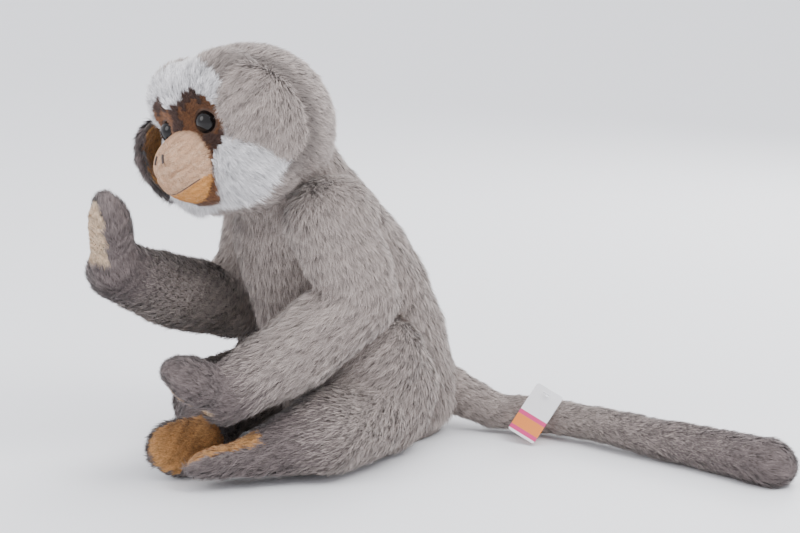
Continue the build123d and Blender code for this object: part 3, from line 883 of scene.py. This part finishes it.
def make_muzzle():
    bm = bmesh.new()
    rows, around = 60, 120
    grid = []
    for i in range(1, rows + 1):
        theta = i / rows * math.pi / 2
        grid.append([bm.verts.new(muzzle_point(theta, 2 * math.pi * j / around)) for j in range(around)])
    tip = bm.verts.new(muzzle_point(0.0001, 0))
    for j in range(around):
        bm.faces.new((tip, grid[0][(j + 1) % around], grid[0][j]))
    for low, high in zip(grid, grid[1:]):
        add_band(bm, low, high)
    bmesh.ops.recalc_face_normals(bm, faces=bm.faces)
    whole = from_bmesh("muzzle", bm)

    def is_chin(m):
        x, _, up = in_head(m).T
        return up < MUZZLE_UP + mouth_line(x)

    def radial(p):
        away = in_head(p) * np.array([1, 0, 1]) + np.array([0, -18, -MUZZLE_UP])
        return away @ np.array([LEFT, FRONT, UP])

    muzzle = keep_faces(whole, "muzzle_cover", lambda m: ~is_chin(m))
    chin = keep_faces(whole, "chin_cover", is_chin)
    edge = keep_faces(whole, "edge", lambda m: (in_head(m)[:, 1] < 66) & (in_head(m)[:, 1] > 48))

    def to_edge(p):
        return np.clip((72 - in_head(p)[:, 1]) / 20, 0, 1)

    grow("head", "brown_plush", "muzzle_fringe", edge, 31, 1.3, 8.5, 0.5, radial, material=BROWN,
         lift=0.45, keep=lambda p: 0.25 + 0.75 * to_edge(p))
    nap_mat = fur_material("suede nap", (0.24, 0.11, 0.055), (0.70, 0.45, 0.285), sheen=0.05)
    grow("head", "tan_suede", "muzzle_nap", muzzle, 32, 3.0, 2.2, 0.45, radial, lift=0.6, clump=0.005,
         material=nap_mat, shade=lambda p: 1.05 - 0.6 * to_edge(p))
    chin_mat = fur_material("chin nap", (0.30, 0.10, 0.02), (0.70, 0.34, 0.10), sheen=0.05)
    grow("head", "tan_suede", "chin_nap", chin, 33, 3.0, 2.0, 0.45, radial, lift=0.6, clump=0.005,
         material=chin_mat, shade=lambda p: 1.05 - 0.6 * to_edge(p))
    place(muzzle, "head", "tan_suede", "muzzle_skin", material=SUEDE)
    place(chin, "head", "tan_suede", "chin_panel", material=CHIN)
    bpy.data.objects.remove(edge)
    bpy.data.objects.remove(whole)


def tube(name, points, radius, material):
    """A round thread along points, as a mesh."""
    curve = bpy.data.curves.new(name, "CURVE")
    curve.dimensions = "3D"
    curve.bevel_depth = radius
    curve.bevel_resolution = 3
    curve.use_fill_caps = True
    spline = curve.splines.new("POLY")
    spline.points.add(len(points) - 1)
    for p, q in zip(spline.points, points):
        p.co = (*q, 1)
    path = link_object(name, curve)
    graph = bpy.context.evaluated_depsgraph_get()
    mesh = bpy.data.meshes.new_from_object(path.evaluated_get(graph))
    bpy.data.objects.remove(path)
    mesh.polygons.foreach_set("use_smooth", [True] * len(mesh.polygons))
    mesh.materials.append(material)
    return link_object(name, mesh)


def join(name, objects):
    """One piece from several of one material, through their mesh data."""
    bm = bmesh.new()
    material = objects[0].data.materials[0]
    for obj in objects:
        bm.from_mesh(obj.data)
        bpy.data.objects.remove(obj)
    whole = from_bmesh(name, bm)
    whole.data.materials.append(material)
    return whole


def make_stitches():
    out = FRONT * 0.5 * MM
    across = [-23 + 46 * i / 40 for i in range(41)]
    line = [on_muzzle(x, mouth_line(x)) + out * 0.2 for x in across]
    place(tube("mouth_thread", line, 0.55 * MM, THREAD), "head", "dark_thread", "mouth_stitch")
    slits = []
    for s in (-1, 1):
        points = [on_muzzle(s * (4.2 + 1.6 * t), 12 - 7 * t) + out for t in (0, 0.25, 0.5, 0.75, 1)]
        slits.append(tube("slit", points, 1.15 * MM, THREAD))
    place(join("nostril_threads", slits), "head", "dark_thread", "nostril_stitches")


def on_muzzle(x, up):
    """The muzzle's surface at x and up from its middle, in millimetres."""
    bulk = math.hypot(x / MUZZLE_WIDE, up / MUZZLE_TALL)
    theta = math.asin(min(1, bulk ** (1 / MUZZLE_BULGE)))
    return muzzle_point(theta, math.atan2(up / MUZZLE_TALL, x / MUZZLE_WIDE))


def make_eyes():
    gloss, nodes, links, shader = new_material("eye plastic")
    ramp = nodes.new("ShaderNodeMapRange")
    ramp.inputs["To Min"].default_value = 0.03
    ramp.inputs["To Max"].default_value = 0.07
    links.new(add_noise(nodes, 60).outputs["Fac"], ramp.inputs["Value"])
    links.new(ramp.outputs["Result"], shader.inputs["Roughness"])
    shader.inputs["Base Color"].default_value = (0.006, 0.005, 0.005, 1)
    shader.inputs["Coat Weight"].default_value = 0.12
    shader.inputs["Specular IOR Level"].default_value = 0.22
    shader.inputs["Coat Roughness"].default_value = 0.02
    for side, centre in EYES.items():
        bm = bmesh.new()
        add_ball(bm, centre, (10.2 * MM, 9 * MM, 10.2 * MM), HEAD_BASIS)
        dome = from_bmesh(side + "_eye_dome", bm)
        place(dome, "head", "eye_plastic", side + "_eye", material=gloss)


# ------------------------ ears and neck
def bowl(name, centre, outward, down, wide, tall, depth, thick):
    """A cupped oval leaf, hollow on the side away from outward: the ear's shape."""
    across = outward.cross(down)
    bm = bmesh.new()
    rows, around = 12, 48
    layers = []
    for level in (0, 1):
        rings = []
        for i in range(1, rows + 1):
            r = i / rows
            ring = []
            for j in range(around):
                t = 2 * math.pi * j / around
                sag = (depth + 1.5 * math.sin(3 * t)) * r * r
                lift = -sag - level * thick * (1 - 0.75 * r**6)
                p = (across * math.cos(t) * wide * r + down * math.sin(t) * tall * r + outward * lift) * MM
                ring.append(bm.verts.new(centre + p))
            rings.append(ring)
        tip = bm.verts.new(centre - outward * level * thick * MM)
        layers.append((tip, rings))
    for tip, rings in layers:
        for j in range(around):
            k = (j + 1) % around
            bm.faces.new((tip, rings[0][j], rings[0][k]))
            for a, b in zip(rings, rings[1:]):
                bm.faces.new((a[j], b[j], b[k], a[k]))
    front_rim, back_rim = (rings[-1] for tip, rings in layers)
    for j in range(around):
        k = (j + 1) % around
        bm.faces.new((front_rim[j], back_rim[j], back_rim[k], front_rim[k]))
    bmesh.ops.recalc_face_normals(bm, faces=bm.faces)
    return from_bmesh(name, bm)


def make_ear(side, seed, material, slot):
    """A furry back and a plush lining. The back's pile grows on its outer side and rim."""
    centre, outward, down = ear_frame(side)
    wide, tall = EAR_SIZE[side]
    back = bowl(side + "_ear_cover", centre, outward, down, wide, tall, EAR_DEPTH, EAR_THICK)
    inside = centre - outward * 3.4 * MM
    lining = bowl(side + "_ear_plush", inside, outward, down, wide - 3, tall - 4, 12, 1.6)

    def is_outer(m):
        rel = (m - np.array(centre)) / MM
        across = rel @ np.array(outward.cross(down)) / wide
        ring = across**2 + (rel @ np.array(down) / tall) ** 2
        return -(rel @ np.array(outward)) < EAR_DEPTH * ring + 1.6

    def flow(p):
        return p - np.array(at_head(SIGN[side] * 62, 0, 30)) - np.array([0, 0, 0.03])

    outer = keep_faces(back, "outer", is_outer)
    grow("head", slot, side + "_ear_pile", outer, seed, 1.6, 12, 0.75, flow, material=material, lift=0.5,
         keep=off_eyes)
    grow("head", "orange_plush", side + "_ear_plush_pile", lining, seed + 1, 1.6, 4.5, 0.5, flow,
         material=ORANGE, lift=0.5, clump=0.007)
    bpy.data.objects.remove(outer)
    place(back, "head", "grey_plush", side + "_ear_back", material=GREY_CLOTH)
    place(lining, "head", "orange_plush", side + "_ear_lining", material=ORANGE_CLOTH)


def make_neck():
    """A furry band under the head, which nods with the neck."""
    bm = bmesh.new()
    axis = Vector((0, math.sin(math.radians(45)), -math.cos(math.radians(45))))
    centre = HEAD + axis * 52 * MM
    turn = axis.to_track_quat("Z", "Y").to_matrix().to_4x4()
    bmesh.ops.create_cone(bm, cap_ends=True, segments=48, radius1=50 * MM, radius2=44 * MM, depth=26 * MM,
                          matrix=Matrix.Translation(centre) @ turn)
    band = soften(from_bmesh("neck_band", bm), 0.004, 12, 0.5)
    grow("neck", "grey_plush", "neck_pile", band, 51, 0.9, 13, 0.75, steady((0, 0.4, -1)))
    place(band, "neck", "grey_plush", "neck_skin", material=GREY_CLOTH)


# ------------------------ tag
def ramp_material(name, stops, rough):
    """Plain printed bands along the card's long axis."""
    mat, nodes, links, shader = new_material(name)
    layer = nodes.new("ShaderNodeUVMap")
    layer.uv_map = "Card"
    split = nodes.new("ShaderNodeSeparateXYZ")
    links.new(layer.outputs[0], split.inputs[0])
    ramp = nodes.new("ShaderNodeValToRGB")
    ramp.color_ramp.interpolation = "CONSTANT"
    cells = ramp.color_ramp.elements
    cells[0].position, cells[0].color = 0.0, (*stops[0][1], 1)
    cells[1].position, cells[1].color = stops[1][0], (*stops[1][1], 1)
    for spot, colour in stops[2:]:
        cells.new(spot).color = (*colour, 1)
    links.new(split.outputs["Y"], ramp.inputs["Fac"])
    links.new(ramp.outputs["Color"], shader.inputs["Base Color"])
    shader.inputs["Roughness"].default_value = rough
    return mat


def make_tag():
    """A plain card with generic bands, and a short plastic tie through its hole into the tail."""
    co = rows_of(frame["nodes"]["tag_card"].data.vertices)
    centre = (co.min(0) + co.max(0)) / 2
    ways = np.linalg.eigh(np.cov((co - centre).T))[1]
    normal, across, along = (Vector(ways[:, i]) for i in range(3))
    if along.z < 0:
        along = -along
    if normal.y > 0:
        normal = -normal
    across = along.cross(normal)
    centre = Vector(centre)
    half_w, half_l, half_thick, corner = 14.5, 25.0, 0.5, 2.5
    hole_up, hole_radius = 20, 2
    outline = []
    for cx, cy, start in ((1, 1, 0), (-1, 1, 90), (-1, -1, 180), (1, -1, 270)):
        for step in range(7):
            t = math.radians(start + step * 15)
            outline.append((cx * (half_w - corner) + corner * math.cos(t),
                            cy * (half_l - corner) + corner * math.sin(t)))
    turns = [math.pi * i / 14 for i in range(28)]
    hole = [(hole_radius * math.cos(t), hole_up + hole_radius * math.sin(t)) for t in turns]
    bm = bmesh.new()
    loops = []
    for level in (-1, 1):
        rows = []
        for ring in (outline, hole):
            rows.append([bm.verts.new(centre + (across * x + along * y + normal * level * half_thick) * MM)
                         for x, y in ring])
        loops.append(rows)
    for low, high in zip(*loops):
        add_band(bm, low, high)
    for rows in loops:
        edges = [bm.edges.get(ends) for row in rows for ends in zip(row, row[1:] + row[:1])]
        bmesh.ops.triangle_fill(bm, use_beauty=True, use_dissolve=False, edges=edges)
    bmesh.ops.recalc_face_normals(bm, faces=bm.faces)
    sheet = from_bmesh("tag_sheet", bm, smooth=False)
    mesh = sheet.data
    layer = mesh.uv_layers.new(name="Card")
    for poly in mesh.polygons:
        for loop in poly.loop_indices:
            rel = mesh.vertices[mesh.loops[loop].vertex_index].co - centre
            layer.data[loop].uv = (rel.dot(across) / MM / 30 + 0.5, rel.dot(along) / MM / 52 + 0.5)
    white, pink, orange = (0.87, 0.86, 0.87), (0.66, 0.05, 0.20), (0.80, 0.25, 0.05)
    bands = ((0, white), (0.06, pink), (0.14, orange), (0.36, pink), (0.44, white))
    place(sheet, "tag", "tag_card", "tag_card", material=ramp_material("tag card", bands, 0.4))
    hole_at = centre + along * hole_up * MM
    tie, nodes, links, shader = new_material("tag tie")
    tone = add_noise(nodes, 300).outputs["Fac"]
    clear = add_mix(nodes, links, tone, (0.75, 0.75, 0.76), (0.85, 0.85, 0.86))
    links.new(clear, shader.inputs["Base Color"])
    shader.inputs["Roughness"].default_value = 0.3
    run = [hole_at + (normal * (4 - 16 * t) + along * 1.5 * math.sin(math.pi * t)) * MM
           for t in (0, 0.2, 0.4, 0.6, 0.8, 1)]
    bar = [hole_at + (normal * 4 + across * (s * 3)) * MM for s in (-1, -0.3, 0.3, 1)]
    parts = [tube("run", run, 0.6 * MM, tie), tube("bar", bar, 0.9 * MM, tie)]
    place(join("tag_tie_loop", parts), "tag", "tag_tie", "tag_fastener")


# ------------------------ hidden CAD parts
def dress_cad():
    """Procedural materials for the CAD pieces, by the word in each one's name."""
    paints = {
        "filling": cloth_material("polyester filling", (0.78, 0.78, 0.76), (0.92, 0.92, 0.90), 60, 1.0),
        "pellet": cloth_material("pellet bag cloth", (0.45, 0.42, 0.36), (0.62, 0.58, 0.50), 300, 0.8),
        "wire": cloth_material("frame wire", (0.30, 0.30, 0.31), (0.42, 0.42, 0.43), 400, 0.2, 0.35, 0),
    }
    plastic = cloth_material("washer plastic", (0.62, 0.62, 0.60), (0.72, 0.72, 0.70), 200, 0.1, 0.4, 0)
    for name, obj in frame["nodes"].items():
        paint = plastic
        for word in paints:
            if word in name:
                paint = paints[word]
        obj.data.materials.clear()
        obj.data.materials.append(paint)


# ------------------------ stage, light, camera
LIT_SPOT = Vector((0, -0.03, 0.15))


def make_stage():
    """A plain pale floor, wide enough to fill the picture."""
    floor_mat, *_, shader = new_material("studio floor")
    shader.inputs["Base Color"].default_value = (0.87, 0.875, 0.89, 1)
    shader.inputs["Roughness"].default_value = 0.6
    reach = 14.0
    corners = [(-reach, -reach, 0), (reach, -reach, 0), (reach, reach, 0), (-reach, reach, 0)]
    mesh = bpy.data.meshes.new("studio")
    mesh.from_pydata(corners, [], [(0, 1, 2, 3)])
    mesh.materials.append(floor_mat)
    link_object("studio", mesh)


AZIMUTH = math.radians(50)
ELEVATION = math.radians(16)
DISTANCE = 2.3
AIM_RIGHT, AIM_UP = 46 * MM, 155.94 * MM
PICTURE_WIDTH = 736 * MM
SENSOR_WIDTH = 36
RIGHT = Vector((math.cos(AZIMUTH), math.sin(AZIMUTH), 0))
BACK = Vector((RIGHT.y, -RIGHT.x, 0)) * math.cos(ELEVATION) + Vector((0, 0, math.sin(ELEVATION)))
VIEW_UP = BACK.cross(RIGHT)


def make_camera():
    data = bpy.data.cameras.new("camera")
    camera = link_object("camera", data)
    aim = RIGHT * AIM_RIGHT + VIEW_UP * AIM_UP
    spot = BACK * DISTANCE
    camera.location = spot
    camera.rotation_euler = (spot - aim).to_track_quat("Z", "Y").to_euler()
    data.lens = SENSOR_WIDTH * (spot - aim).length / PICTURE_WIDTH
    bpy.context.scene.camera = camera


def area_light(name, right, back, up, size, power):
    """A round lamp that looks at the monkey's middle. right and back are as the camera sees them."""
    data = bpy.data.lights.new(name, "AREA")
    data.shape = "DISK"
    data.size = size
    data.energy = power
    lamp = link_object(name, data)
    lamp.location = RIGHT * right + BACK * back + Vector((0, 0, up))
    lamp.rotation_euler = (lamp.location - LIT_SPOT).to_track_quat("Z", "Y").to_euler()


def make_lights():
    world = bpy.data.worlds.new("studio air")
    bpy.context.scene.world = world
    world.use_nodes = True
    sky = world.node_tree.nodes["Background"]
    sky.inputs["Color"].default_value = (0.93, 0.94, 1.0, 1)
    sky.inputs["Strength"].default_value = 1.55
    area_light("key", 0.9, 1.0, 1.3, 0.8, 20)
    area_light("left_fill", -1.5, 0.7, 0.8, 1.0, 11)
    data = bpy.data.lights.new("ceiling", "SUN")
    data.energy = 1.1
    data.angle = math.radians(60)
    lamp = link_object("ceiling", data)
    lamp.rotation_euler = (math.radians(-12), math.radians(8), 0)
    area_light("rim", 0.8, -1.3, 1.2, 0.8, 14)


make_torso()
make_arm("left", 100)
make_arm("right", 110)
make_leg("left", 120)
make_leg("right", 130)
make_tail()
make_head()
make_muzzle()
make_stitches()
make_eyes()
make_ear("left", 41, GREY, "grey_plush")
make_ear("right", 45, DARK, "dark_plush")
make_neck()
make_tag()
dress_cad()
make_stage()
make_camera()
make_lights()
